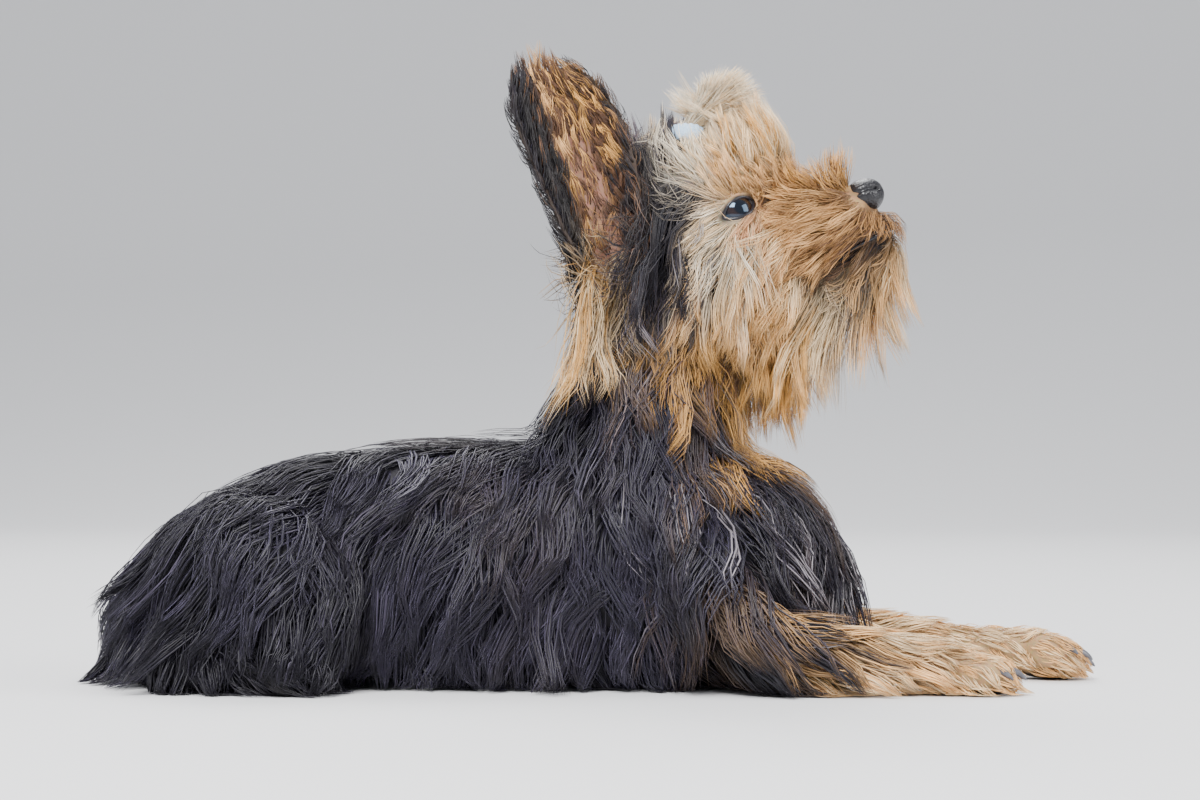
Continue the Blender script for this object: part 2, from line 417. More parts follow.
for elbow_y, reach in ((46, 0), (46, 18)):
    GUIDES += [
        ("leg", 58 + reach, elbow_y + 6, 18, 0.70, 0.15, -0.60, 34, 6, 0.15, 0.9, 0.62, 42, STEEL, SILVER, 0.12),
        ("leg", 68 + reach, elbow_y + 2, 24, 0.85, 0.10, -0.30, 30, 5, 0.15, 0.8, 0.58, 50, TAN, STEEL, 0.35),
        ("leg", 86 + reach, elbow_y - 2, 21, 0.90, 0.10, -0.28, 24, 4, 0.20, 0.7, 0.50, 60, CREAM, TAN, 0.45),
        ("leg", 88 + reach, elbow_y + 6, 8, 0.75, 0.25, -0.50, 24, 5, 0.20, 0.8, 0.52, 56, TAN, CREAM, 0.40),
        ("leg", 104 + reach, elbow_y - 6, 18, 0.92, 0.10, -0.25, 19, 3.5, 0.22, 0.6, 0.46, 70, CREAM, TAN, 0.45),
        ("leg", 106 + reach, elbow_y + 2, 6, 0.80, 0.25, -0.40, 18, 4, 0.22, 0.7, 0.46, 70, TAN, CREAM, 0.40),
    ]
for paw_x, paw_y in ((126, 36), (154, 29), (-112, 54)):
    tint, fleck = (TAN, CREAM) if paw_x > 0 else (STEEL, SOOT)
    GUIDES += [
        ("paw", paw_x + 2, paw_y, 18, 0.85, 0.0, -0.35, 10, 2.2, 0.20, 0.4, 0.40, 50, tint, fleck, 0.45),
        ("paw", paw_x + 18, paw_y, 12, 0.75, 0.0, -0.60, 7, 1.5, 0.20, 0.3, 0.36, 60, tint, fleck, 0.40),
        ("paw", paw_x + 6, paw_y + 9, 9, 0.80, 0.2, -0.50, 9, 2.0, 0.20, 0.4, 0.38, 50, tint, fleck, 0.40),
        ("paw", paw_x + 6, paw_y - 9, 9, 0.80, -0.2, -0.50, 9, 2.0, 0.20, 0.4, 0.38, 50, tint, fleck, 0.40),
    ]
GUIDES += [
    ("leg", -112, 50, 34, -0.30, 0.25, -0.92, 50, 9, 0.15, 1.1, 0.70, 34, STEEL, SMOKE, 0.10),
    ("leg", -86, 52, 26, -0.35, 0.35, -0.88, 44, 11, 0.20, 1.1, 0.70, 34, STEEL, SMOKE, 0.10),
    ("leg", -140, 50, 14, -0.30, 0.30, -0.85, 24, 6, 0.12, 1.0, 0.66, 34, STEEL, SMOKE, 0.10),
    ("leg", -100, 58, 18, -0.15, 0.45, -0.88, 36, 10, 0.20, 1.1, 0.72, 44, STEEL, SMOKE, 0.10),
    ("leg", -124, 54, 8, 0.10, 0.40, -0.90, 26, 7, 0.15, 0.8, 0.62, 38, STEEL, SMOKE, 0.10),
    ("tail", -165, 8, 34, -0.35, 0.60, -0.55, 26, 6, 0.20, 1.0, 0.62, 40, STEEL, SMOKE, 0.15),
    ("tail", -172, 22, 18, -0.20, 0.70, -0.60, 24, 6, 0.20, 1.0, 0.62, 40, STEEL, UMBER, 0.15),
    ("tail", -160, 40, 7, 0.50, 0.70, -0.30, 20, 4, 0.20, 0.9, 0.58, 40, STEEL, UMBER, 0.20),
]
EAR_ROWS = [
    # place round the fold, lengths low and high, width, colours low (with fleck), colours high (with fleck), share
    (-0.95, 12, 12, 0.46, SOOT, UMBER, SOOT, UMBER, 0.12),
    (-0.60, 12, 12, 0.42, SOOT, UMBER, SOOT, UMBER, 0.20),
    (-0.15, 11, 14, 0.34, UMBER, GOLD, UMBER, TAN, 0.45),
    (0.30, 8, 13, 0.32, UMBER, RUST, UMBER, GOLD, 0.45),
    (0.70, 10, 8, 0.32, SOOT, UMBER, UMBER, GOLD, 0.45),
    (0.97, 12, 7, 0.34, SOOT, UMBER, SOOT, UMBER, 0.45),
]
for t, low_reach, high_reach, width, low_tint, low_fleck, high_tint, high_fleck, share in EAR_ROWS:
    for s in (0.06, 0.28, 0.50, 0.72, 0.94):
        reach = (low_reach + (high_reach - low_reach) * s) * (0.55 if s < 0.1 else 1.0)
        tint, fleck = (low_tint, low_fleck) if s < 0.45 else (high_tint, high_fleck)
        edge = abs(t) > 0.55
        for face in (1, -1):
            place = ear_spot(1, s, t, face * 1.6)
            lie = ear_spot(1, min(s + 0.25, 1.12), t * (0.85 if face > 0 else 1.0), face * 2.0) - place
            lie = lie / np.linalg.norm(lie)
            density = 140 if edge or s > 0.6 else 46
            if face < 0:
                tint, fleck, reach, density = SOOT, UMBER, 11, 50
            look = (2.2 + 1.4 * edge, 0.50 if edge else 0.30, 0.8, width, density, tint, fleck, share)
            GUIDES.append(("ear", *place, *lie, reach, *look))
for t, length, tint, fleck in ((-0.85, 56, CREAM, GOLD), (-0.2, 60, GOLD, CREAM), (0.4, 56, CREAM, SOOT), (0.9, 50, SMOKE, SILVER)):
    GUIDES.append(("fringe", *ear_spot(1, -0.02, t, 2.0), -0.12, 0.14, -0.98, length, 10, 0.12, 2.0, 0.34, 190, tint, fleck, 0.40))
    GUIDES.append(("fringe", *ear_spot(1, -0.04, t, -2.0), -0.10, 0.12, -0.97, length - 8, 8, 0.08, 1.8, 0.38, 110, SOOT, tint, 0.35))
GROUPS = ("trunk", "neck", "cheek", "face", "crown", "muzzle", "beard", "leg", "paw", "tail", "ear", "fringe")
NORMAL_REACH = 11.0
BLEND_POWER = 3.0

skin_tree = BVHTree.FromPolygons((spots * MM).tolist(), [tuple(p.vertices) for p in skin.data.polygons])


def skin_normals(places):
    """Outward normal of the skin nearest to each place, in turn."""
    return np.array([tuple(skin_tree.find_nearest(Vector(p * MM))[1]) for p in places])


guide_place, guide_lie, guide_number, guide_tint, guide_fleck, guide_group = [], [], [], [], [], []
for group, x, y, z, dx, dy, dz, *numbers, tint, fleck, share in GUIDES:
    for side in (-1, 1):
        guide_place.append((x, y * side, z))
        guide_lie.append((dx, dy * side, dz))
        guide_number.append((*numbers, share))
        guide_tint.append(tint)
        guide_fleck.append(fleck)
        guide_group.append(GROUPS.index(group))
guide_place, guide_lie, guide_number = np.array(guide_place), np.array(guide_lie), np.array(guide_number)
guide_tint, guide_fleck, guide_group = np.array(guide_tint), np.array(guide_fleck), np.array(guide_group)
guide_lie = guide_lie / np.linalg.norm(guide_lie, axis=1)[:, None]
guide_normal = skin_normals(guide_place)


def guided(places, normals):
    """Mix of all guides at each place, by 1 / distance^6, where distance also counts how the skin faces."""
    mixed = []
    for start in range(0, len(places), 4000):
        p, n = places[start : start + 4000], normals[start : start + 4000]
        apart = ((p[:, None] - guide_place[None]) ** 2).sum(axis=2)
        apart += NORMAL_REACH**2 * ((n[:, None] - guide_normal[None]) ** 2).sum(axis=2)
        weight = 1.0 / (apart + 4.0) ** BLEND_POWER
        weight /= weight.sum(axis=1)[:, None]
        nearest = guide_group[weight.argmax(axis=1)]
        mixed.append((weight @ guide_lie, weight @ guide_number, weight @ guide_tint, weight @ guide_fleck, nearest))
    return [np.concatenate(part) for part in zip(*mixed)]


# The colour of the skin under the coat
# It follows the hair that grows there, darker at the roots, with bare pink-brown skin in the cup of the ears,
# black rims to the eyes and dark pads under the feet.
def vertex_normals(mesh):
    flat = np.empty(len(mesh.vertices) * 3, np.float32)
    mesh.vertex_normals.foreach_get("vector", flat)
    return flat.reshape(-1, 3).astype(float)


def paint(mesh, name, colours):
    """Stores one colour for each vertex of a mesh."""
    layer = mesh.color_attributes.new(name, "FLOAT_COLOR", "POINT")
    rgba = np.ones((len(colours), 4), np.float32)
    rgba[:, :3] = colours
    layer.data.foreach_set("color", rgba.ravel())


skin_normal = vertex_normals(skin.data)
_, _, skin_tint, skin_fleck, _ = guided(spots, skin_normal)
skin_tint = (skin_tint * 0.75 + skin_fleck * 0.25) * 0.55
for side in (-1, 1):
    cup = ear_spot(side, np.array([0.12, 0.35, 0.58]), np.array([0.15, 0.1, 0.05]), 1.6)
    facing = skin_normals(cup).mean(axis=0)
    apart = np.min(np.linalg.norm(spots[:, None] - cup[None], axis=2), axis=1)
    bare = np.clip(1.6 - apart / 9.0, 0, 1) * np.clip(skin_normal @ facing * 2, 0, 1)
    skin_tint += (np.array(PINK) - skin_tint) * bare[:, None]
    centre, gaze, across, up = eye_axes(side)
    away = spots - centre
    ring = np.hypot(away @ across / EYE_HALF_WIDTH, away @ up / EYE_HALF_HEIGHT)
    rim = np.clip((1.3 - ring) / 0.2, 0, 1) * (away @ gaze > 2) * (np.linalg.norm(away, axis=1) < 14)
    skin_tint += (np.array(SOOT) - skin_tint) * rim[:, None]
pads = np.clip((4.0 - spots[:, 2]) / 2.0, 0, 1) * (np.abs(spots[:, 0]) > 100) * (spots[:, 0] > 0)
skin_tint += (np.array(SOOT) - skin_tint) * pads[:, None]
paint(skin.data, "tint", skin_tint)
hide = bpy.data.materials.new("skin_under_coat")
hide.use_nodes = True
nodes, links = hide.node_tree.nodes, hide.node_tree.links
shader = nodes["Principled BSDF"]
tint = nodes.new("ShaderNodeAttribute")
tint.attribute_name = "tint"
grain = nodes.new("ShaderNodeTexNoise")
grain.inputs["Scale"].default_value = 900.0
grain.inputs["Detail"].default_value = 4.0
where = nodes.new("ShaderNodeTexCoord")
links.new(where.outputs["Object"], grain.inputs["Vector"])
speck = nodes.new("ShaderNodeMix")
speck.data_type = "RGBA"
speck.blend_type = "MULTIPLY"
speck.inputs["Factor"].default_value = 0.5
links.new(tint.outputs["Color"], speck.inputs["A"])
links.new(grain.outputs["Color"], speck.inputs["B"])
links.new(speck.outputs["Result"], shader.inputs["Base Color"])
bump = nodes.new("ShaderNodeBump")
bump.inputs["Strength"].default_value = 0.4
bump.inputs["Distance"].default_value = 0.0004
links.new(grain.outputs["Fac"], bump.inputs["Height"])
links.new(bump.outputs["Normal"], shader.inputs["Normal"])
shader.inputs["Roughness"].default_value = 0.65
skin.data.materials.append(hide)
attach(skin, "root")
flesh_nodes = [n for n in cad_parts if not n.startswith(("claw", "eye", "nose", "hair_tie", "topknot"))]
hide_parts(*flesh_nodes)

# The coat
# Thousands of thin tapered blades of hair stand for the silky coat, each a closed three-sided sliver rooted in
# the skin. Neighbours share a wave and draw together at their tips, as washed and dried long hair does.
SEED = 7
FIELD_STEP = 3.0
FIELD_MARGIN = 30.0
COAT_STEPS = 9
CLUMP_SIZE = 26
FLOOR_CLEAR = 0.7
HAIR_SHARE = 0.965
EYE_CLEAR = 1.06
RUMP_REACH = 176.0
SIDE_REACH = 62.0
EDGE_GIVE = 8.0

field_low = spots.min(axis=0) - FIELD_MARGIN
field_low[2] = -3.0
counts = np.ceil((spots.max(axis=0) + FIELD_MARGIN - field_low) / FIELD_STEP).astype(int) + 1
axes = [field_low[k] + FIELD_STEP * np.arange(counts[k]) for k in range(3)]
lattice = np.stack(np.meshgrid(*axes, indexing="ij"), axis=-1).reshape(-1, 3)
found = [skin_tree.find_nearest(Vector(p)) for p in (lattice * MM).tolist()]
nearest = np.array([tuple(f[0]) for f in found]) / MM
facing = np.array([tuple(f[1]) for f in found])
apart = np.array([f[3] for f in found]) / MM
inside = ((lattice - nearest) * facing).sum(axis=1) < 0
field = np.where(inside, -apart, apart).reshape(counts)
slope = np.stack(np.gradient(field, FIELD_STEP), axis=-1)


def height_over_skin(places):
    """Height over the skin and the way out from it, both read off the lattice between its eight nearest points."""
    at = np.clip((places - field_low) / FIELD_STEP, 0, np.array(counts) - 1.001)
    i = at.astype(int)
    f = at - i
    height, out = np.zeros(len(places)), np.zeros((len(places), 3))
    for dx in (0, 1):
        for dy in (0, 1):
            for dz in (0, 1):
                share = np.abs(1 - dx - f[:, 0]) * np.abs(1 - dy - f[:, 1]) * np.abs(1 - dz - f[:, 2])
                corner = (i[:, 0] + dx, i[:, 1] + dy, i[:, 2] + dz)
                height += share * field[corner]
                out += share[:, None] * slope[corner]
    return height, out / np.maximum(np.linalg.norm(out, axis=1), 1e-6)[:, None]


def unit(vectors):
    return vectors / np.maximum(np.linalg.norm(vectors, axis=-1, keepdims=True), 1e-9)


def roots_on(mesh, rng):
    """Hair roots scattered over a mesh, each triangle holding its area times the hairs a square centimetre."""
    mesh.calc_loop_triangles()
    corner = np.empty(len(mesh.loop_triangles) * 3, np.int32)
    mesh.loop_triangles.foreach_get("vertices", corner)
    corner = corner.reshape(-1, 3)
    p = points_of(mesh)
    a, b, c = p[corner[:, 0]], p[corner[:, 1]], p[corner[:, 2]]
    cross = np.cross(b - a, c - a)
    area = np.linalg.norm(cross, axis=1) / 2
    middle, normal = (a + b + c) / 3, unit(cross)
    density = guided(middle, normal)[1][:, 5]
    density = np.where(bald(middle, normal), 0.0, density)
    wanted = area / 100.0 * density * HAIR_SHARE
    number = np.floor(wanted + rng.random(len(wanted))).astype(int)
    pick = np.repeat(np.arange(len(area)), number)
    u, v = rng.random(len(pick)), rng.random(len(pick))
    flip = u + v > 1
    u, v = np.where(flip, 1 - u, u), np.where(flip, 1 - v, v)
    root = a[pick] + u[:, None] * (b - a)[pick] + v[:, None] * (c - a)[pick]
    smooth = vertex_normals(mesh)
    n = smooth[corner[pick, 0]] * (1 - u - v)[:, None] + smooth[corner[pick, 1]] * u[:, None]
    return root, unit(n + smooth[corner[pick, 2]] * v[:, None])


NOSE_CENTRE = (60.2, 0.0, -22.6)
NOSE_RADII = (7.4, 8.2, 6.4)
MOUTH_PIVOT = (40.0, 0.0, -38.0)
MOUTH_FRONT_HEIGHT = -36.5
MOUTH_DROP = 5.5


def bald(places, normals):
    """Where no hair grows: eye openings, nose, the line of the mouth, foot pads and the belly's flat."""
    none = np.zeros(len(places), bool)
    for side in (-1, 1):
        centre, gaze, across, up = eye_axes(side)
        away = places - centre
        ring = np.hypot(away @ across / EYE_HALF_WIDTH, away @ up / EYE_HALF_HEIGHT)
        none |= (ring < 1.16) & (away @ gaze > 0) & (np.linalg.norm(away, axis=1) < 15)
    local = (places - HEAD_CENTRE) @ head_turn()
    none |= (((local - np.array(NOSE_CENTRE)) / (np.array(NOSE_RADII) + 0.6)) ** 2).sum(axis=1) < 1
    angle = np.arctan2(local[:, 1], local[:, 0] - MOUTH_PIVOT[0])
    line = MOUTH_FRONT_HEIGHT - MOUTH_DROP * (1 - np.cos(angle * 0.9))
    none |= (np.abs(local[:, 2] - line) < 0.8) & (local[:, 0] > 34) & (local[:, 2] < -30)
    none |= (places[:, 2] < 2.5) & (normals[:, 2] < -0.3)
    return none


def grown(root, normal, lie, length, depth, stand, wave, phase, turns):
    """Path of every hair: it leaves the skin, follows its lie, waves, and is kept at its own depth of the coat.

    Each step turns the heading half way to the lie, less the part of the lie that would press into the coat.
    """
    path = np.empty((COAT_STEPS + 1, *root.shape))
    heading = unit(unit(lie - normal * (lie * normal).sum(axis=1)[:, None]) + normal * stand[:, None] * 2.0)
    path[0] = root - normal * 0.4
    place = root
    step = (length / COAT_STEPS)[:, None]
    for i in range(1, COAT_STEPS + 1):
        t = i / COAT_STEPS
        height, out = height_over_skin(place)
        layer = depth * min(1.0, 0.25 + 1.5 * t)
        inward = (lie * out).sum(axis=1)
        close = np.clip(1 - (height - layer) / 4.0, 0, 1)
        want = unit(lie - out * (inward * np.where(inward < 0, close, 0.5 * close))[:, None])
        heading = unit(heading * 0.5 + want * 0.5)
        across = np.cross(heading, out)
        sway = wave * 0.34 * np.cos(2 * math.pi * (turns * t + phase))
        place = place + unit(heading + across * sway[:, None]) * step
        height, out = height_over_skin(place)
        place = place + out * np.clip(layer - height, 0, 3.0)[:, None]
        place[:, 2] = np.maximum(place[:, 2], FLOOR_CLEAR)
        path[i] = place
    return path


def drawn_together(path, clump, strength):
    """Moves each hair towards the leader of its clump, more towards the tip: p + (leader - p) s t^1.4."""
    t = np.linspace(0, 1, len(path))[:, None, None] ** 1.4
    return path + (path[:, clump] - path) * t * strength[None, :, None]


def kept_in(reach, most, give):
    """Presses what reaches past a limit softly back: most + give tanh((reach - most) / give)."""
    return np.where(reach > most, most + give * np.tanh((reach - most) / give), reach)


def blades(path, width, rings, rng):
    """Closed three-sided slivers: at each ring two edge points and a ridge point, a triangle below, a tip above."""
    n = path.shape[1]
    at = np.linspace(0, len(path) - 1, rings + 1)
    low = np.minimum(at.astype(int), len(path) - 2)
    f = (at - low)[:, None, None]
    line = path[low] * (1 - f) + path[low + 1] * f
    along = unit(np.gradient(line, axis=0))
    _, out = height_over_skin(line.reshape(-1, 3))
    out = out.reshape(line.shape)
    side = unit(np.cross(along, out))
    out = unit(np.cross(side, along))
    roll = rng.normal(0.0, 0.28, n)[None, :, None]
    side, out = side * np.cos(roll) + out * np.sin(roll), out * np.cos(roll) - side * np.sin(roll)
    t = np.linspace(0, 1, rings + 1)[:-1]
    shape = (0.75 + 0.5 * t) * (1 - t**2.2) + 0.12
    half = width[None, :, None] * shape[:, None, None] / 2
    body = line[:-1]
    ring = np.stack([body - side[:-1] * half, body + out[:-1] * half * 0.7, body + side[:-1] * half], axis=2)
    points = np.concatenate([ring.transpose(1, 0, 2, 3).reshape(n, rings * 3, 3), line[-1][:, None]], axis=1)
    faces = [(0, 1, 2)]
    for r in range(rings - 1):
        a = r * 3
        for k in range(3):
            m = (k + 1) % 3
            faces.append((a + k, a + 3 + k, a + 3 + m, a + m))
    a, tip = (rings - 1) * 3, rings * 3
    faces += [(a + k, tip, a + (k + 1) % 3) for k in range(3)]
    return points, faces


def atlas_place(root, group):
    """The root's place on an unwrap of the skin: each body region is a cell, with length and angle round it."""
    local = (root - HEAD_CENTRE) @ head_turn()
    on_skull = np.isin(group, [GROUPS.index(g) for g in ("cheek", "face", "crown", "muzzle", "beard", "ear", "fringe")])
    along = np.where(on_skull, (local[:, 0] + 60) / 130, (root[:, 0] + 190) / 390)
    angle = np.where(on_skull, np.arctan2(local[:, 1], local[:, 2] + 15), np.arctan2(root[:, 1], root[:, 2] - 40))
    cell = group * 2 + (root[:, 1] > 0)
    u = (cell % 5 + 0.06 + 0.88 * np.clip(along, 0, 1)) / 5
    v = (cell // 5 + 0.06 + 0.88 * (angle / (2 * math.pi) + 0.5)) / 5
    return np.stack([u, v], axis=1)


def tuft_mesh(name, points, faces, root_uv, tints):
    """One mesh from n like blades: vertex numbers of blade i are the pattern's plus i times its vertex count."""
    n, per = points.shape[:2]
    sizes = np.array([len(face) for face in faces])
    pattern = np.concatenate([np.array(face) for face in faces])
    corner = (pattern[None] + per * np.arange(n)[:, None]).ravel().astype(np.int32)
    total = np.tile(sizes, n).astype(np.int32)
    mesh = bpy.data.meshes.new(name)
    mesh.vertices.add(n * per)
    mesh.vertices.foreach_set("co", (points * MM).astype(np.float32).ravel())
    mesh.loops.add(len(corner))
    mesh.loops.foreach_set("vertex_index", corner)
    mesh.polygons.add(len(total))
    mesh.polygons.foreach_set("loop_start", np.concatenate([[0], np.cumsum(total)[:-1]]).astype(np.int32))
    mesh.polygons.foreach_set("loop_total", total)
    mesh.update(calc_edges=True)
    spread = np.stack([np.arange(per) % 3 - 1, np.arange(per) / per * 2 - 1], axis=1) * 0.0015
    uv = (root_uv[:, None] + spread[None]).reshape(-1, 2)[corner]
    mesh.uv_layers.new(name="OFBake").data.foreach_set("uv", uv.astype(np.float32).ravel())
    paint(mesh, "tint", tints.reshape(-1, 3))
    mesh.shade_smooth()
    return mesh


def hair_material(name, roughness, sheen):
    """Silky hair: the blade's own tint with faint streaks along the coat, and a soft uniform sheen."""
    made = bpy.data.materials.new(name)
    made.use_nodes = True
    nodes, links = made.node_tree.nodes, made.node_tree.links
    shader = nodes["Principled BSDF"]
    tint = nodes.new("ShaderNodeAttribute")
    tint.attribute_name = "tint"
    where = nodes.new("ShaderNodeTexCoord")
    streak = nodes.new("ShaderNodeTexNoise")
    streak.inputs["Scale"].default_value = 260.0
    streak.inputs["Detail"].default_value = 3.0
    links.new(where.outputs["Object"], streak.inputs["Vector"])
    level = nodes.new("ShaderNodeMapRange")
    level.inputs["To Min"].default_value = 0.72
    level.inputs["To Max"].default_value = 1.25
    links.new(streak.outputs["Fac"], level.inputs["Value"])
    shade = nodes.new("ShaderNodeMix")
    shade.data_type = "RGBA"
    shade.blend_type = "MULTIPLY"
    shade.inputs["Factor"].default_value = 1.0
    links.new(tint.outputs["Color"], shade.inputs["A"])
    links.new(level.outputs["Result"], shade.inputs["B"])
    links.new(shade.outputs["Result"], shader.inputs["Base Color"])
    shader.inputs["Roughness"].default_value = roughness
    shader.inputs["Specular IOR Level"].default_value = 0.45
    shader.inputs["Sheen Weight"].default_value = sheen
    shader.inputs["Sheen Roughness"].default_value = 0.4
    shader.inputs["Sheen Tint"].default_value = (0.70, 0.62, 1.0, 1.0)
    return made


dark_hair = hair_material("dark_silk", 0.42, 0.16)
light_hair = hair_material("tan_silk", 0.48, 0.05)
rng = np.random.default_rng(SEED)
root, normal = roots_on(skin.data, rng)
lie, number, tint, fleck, group = guided(root, normal)
length, depth, stand, wave, width, _, share = number.T
lie = unit(lie)

# Clumps: every so many hairs one leads, and its neighbours take its phase, its heading and, in part, its path.
short = np.isin(group, [GROUPS.index(g) for g in ("face", "muzzle", "paw", "ear")])
size_of = np.where(short, CLUMP_SIZE * 0.4, CLUMP_SIZE)
leader = rng.random(len(root)) < 1.0 / size_of
leader[0] = True
leaders = np.flatnonzero(leader)
tree = KDTree(len(leaders))
for index, i in enumerate(leaders):
    tree.insert(root[i] + normal[i] * 6.0, index)
tree.balance()
clump = np.array([leaders[tree.find(place)[1]] for place in (root + normal * 6.0).tolist()])
swing = rng.normal(0.0, 0.16, (len(root), 3))[clump] + rng.normal(0.0, 0.05, (len(root), 3))
phase = rng.random(len(root))[clump] + rng.normal(0.0, 0.05, len(root))
turns = 0.75 + 0.12 * wave + 0.45 * rng.random(len(root))[clump]
long_share = rng.uniform(0.82, 1.12, len(root))[clump] * rng.uniform(0.75, 1.08, len(root))
layer = depth * (0.12 + 0.88 * rng.random(len(root)) ** 0.8)
path = grown(root, normal, unit(lie + swing), length * long_share, layer, stand * rng.uniform(0.5, 1.4, len(root)), wave, phase, turns)
strength = np.clip(rng.normal(0.70, 0.2, len(root)), 0.0, 0.94)
path = drawn_together(path, clump, strength)
for side in (-1, 1):
    centre, gaze, across, up = eye_axes(side)
    away = path - centre
    wide, high = away @ across, away @ up
    ring = np.hypot(wide / EYE_HALF_WIDTH, high / EYE_HALF_HEIGHT)
    before = (ring < EYE_CLEAR) & (away @ gaze > 0) & (np.linalg.norm(away, axis=2) < 20)
    push = np.where(before, EYE_CLEAR / np.maximum(ring, 0.1) - 1, 0.0)
    path = path + across * (wide * push)[..., None] + up * (high * push)[..., None]
path[:, :, 0] = -kept_in(-path[:, :, 0], RUMP_REACH, EDGE_GIVE)
path[:, :, 1] = np.sign(path[:, :, 1]) * kept_in(np.abs(path[:, :, 1]), SIDE_REACH, EDGE_GIVE)
path[:, :, 2] = np.maximum(path[:, :, 2], FLOOR_CLEAR)

ROOT_TO_TIP = {
    "trunk": (0.3, 1.2), "neck": (0.35, 1.15), "leg": (0.65, 1.1), "tail": (0.5, 1.1), "crown": (0.6, 1.1),
    "cheek": (0.42, 1.12), "beard": (0.4, 1.08), "fringe": (0.45, 1.12), "muzzle": (0.5, 1.12),
    "face": (0.65, 1.1), "ear": (0.6, 1.1),
}
# Tints: root colour mixed with flecks, some whole hairs of the fleck's colour, each clump a little lighter or darker
pick = rng.random(len(root))[clump] * 0.6 + rng.random(len(root)) * 0.4
mixed = np.where((pick < share)[:, None], fleck, tint)
mixed = mixed * rng.uniform(0.78, 1.22, len(root))[clump][:, None] * rng.uniform(0.86, 1.14, len(root))[:, None]
for name in GROUPS:
    chosen = np.flatnonzero(group == GROUPS.index(name))
    if len(chosen) == 0:
        continue
    rings = {"trunk": 5, "neck": 5, "fringe": 6, "cheek": 5, "beard": 5, "crown": 4, "tail": 4}.get(name, 3)
    per_blade = 1 + 6 * (rings - 1) + 3
    chunks = math.ceil(len(chosen) * per_blade / 190000)
    chosen = chosen[np.argsort(root[chosen, 0], kind="stable")]
    for part, some in enumerate(np.array_split(chosen, chunks)):
        points, faces = blades(path[:, some], width[some] * rng.uniform(0.7, 1.3, len(some)), rings, rng)
        shade = np.linspace(*ROOT_TO_TIP.get(name, (0.8, 1.05)), rings + 1)
        per_vertex = np.append(np.repeat(shade[:-1], 3), shade[-1])
        tints = mixed[some][:, None] * per_vertex[None, :, None]
        if name == "cheek":
            gilt = 0.85 * np.clip(np.append(np.repeat(np.arange(rings) / rings, 3), 1.0) * 2.2 - 1.0, 0, 1)
            tints = tints + (np.array(GOLD) - tints) * gilt[None, :, None]
        piece_name = "coat_" + name + ("" if chunks == 1 else f"_{part + 1}")
        mesh = tuft_mesh(piece_name, points, faces, atlas_place(root[some], group[some]), tints)
        piece = bpy.data.objects.new(piece_name, mesh)
        bpy.context.scene.collection.objects.link(piece)
        dark = name in ("trunk", "neck", "tail")
        mesh.materials.append(dark_hair if dark else light_hair)
        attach(piece, "root")

# The eyes
# Wet, almost black eyeballs with a deep brown ring round the pupil, seen through the almond between the lids.
# Each is a ball whose pole looks out along the gaze, with the cornea standing a little proud of it.
EYE_MIDDLE = (0.004, 0.003, 0.004)
IRIS_BROWN = (0.020, 0.009, 0.005)
eye_wet = bpy.data.materials.new("eye_wet")
eye_wet.use_nodes = True
nodes, links = eye_wet.node_tree.nodes, eye_wet.node_tree.links
shader = nodes["Principled BSDF"]
tint = nodes.new("ShaderNodeAttribute")
tint.attribute_name = "tint"
links.new(tint.outputs["Color"], shader.inputs["Base Color"])
shader.inputs["Roughness"].default_value = 0.06
shader.inputs["Specular IOR Level"].default_value = 0.8
shader.inputs["Specular Tint"].default_value = (0.45, 0.70, 1.0, 1.0)


def eyeball(side, around=64, rings=40):
    """Ball r (sin v cos u, sin v sin u, cos v) whose r swells by the cornea's height within its rim."""
    centre, gaze, across, up = eye_axes(side)
    v = np.linspace(0.0, math.pi, rings + 2)[1:-1]
    u = np.linspace(0.0, 2 * math.pi, around, endpoint=False)
    radius = EYE_RADIUS + 0.45 * np.clip(1 - (v / 0.75) ** 2, 0, 1)
    unit_ball = np.stack([np.cos(u)[None] * np.sin(v)[:, None], np.sin(u)[None] * np.sin(v)[:, None], np.cos(v)[:, None] * np.ones(around)[None]], axis=-1)
    local = (unit_ball * radius[:, None, None]).reshape(-1, 3)
    local = np.vstack([[[0, 0, EYE_RADIUS + 0.45]], local, [[0, 0, -EYE_RADIUS]]])
    points = centre + local @ np.stack([across * side, up, gaze])
    faces = [(0, 1 + k, 1 + (k + 1) % around) for k in range(around)]
    faces += [tuple(reversed(face)) for face in grid_faces(rings, around, 1)]
    last = 1 + (rings - 1) * around
    faces += [(len(points) - 1, last + (k + 1) % around, last + k) for k in range(around)]
    angle = np.arccos(np.clip(local[:, 2] / np.linalg.norm(local, axis=1), -1, 1))
    iris = np.clip((0.72 - angle) / 0.06, 0, 1) * np.clip((angle - 0.34) / 0.06, 0, 1)
    tints = np.array(EYE_MIDDLE) + (np.array(IRIS_BROWN) - np.array(EYE_MIDDLE)) * iris[:, None]
    return points, faces, tints


def put(name, points, faces, surface, tints=None):
    """A finished piece at the origin, with its place in its mesh, which rides on the dog's one body."""
    mesh = bpy.data.meshes.new(name)
    mesh.from_pydata((np.asarray(points) * MM).tolist(), [], faces)
    mesh.update()
    if tints is not None:
        paint(mesh, "tint", tints)
    mesh.shade_smooth()
    mesh.materials.append(surface)
    piece = bpy.data.objects.new(name, mesh)
    bpy.context.scene.collection.objects.link(piece)
    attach(piece, "root")
    return piece


for side, name in ((-1, "eye_right"), (1, "eye_left")):
    piece = put("ball_of_" + name, *eyeball(side)[:2], eye_wet, eyeball(side)[2])
    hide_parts(name)

# The rims of the eyes
# Bare black skin edges both lids, a little thicker below, where it is wet and catches the light.
LID_CORD = 0.5
rim_skin = bpy.data.materials.new("rim_skin")
rim_skin.use_nodes = True
shader = rim_skin.node_tree.nodes["Principled BSDF"]
shader.inputs["Base Color"].default_value = (0.012, 0.011, 0.015, 1.0)
shader.inputs["Roughness"].default_value = 0.28


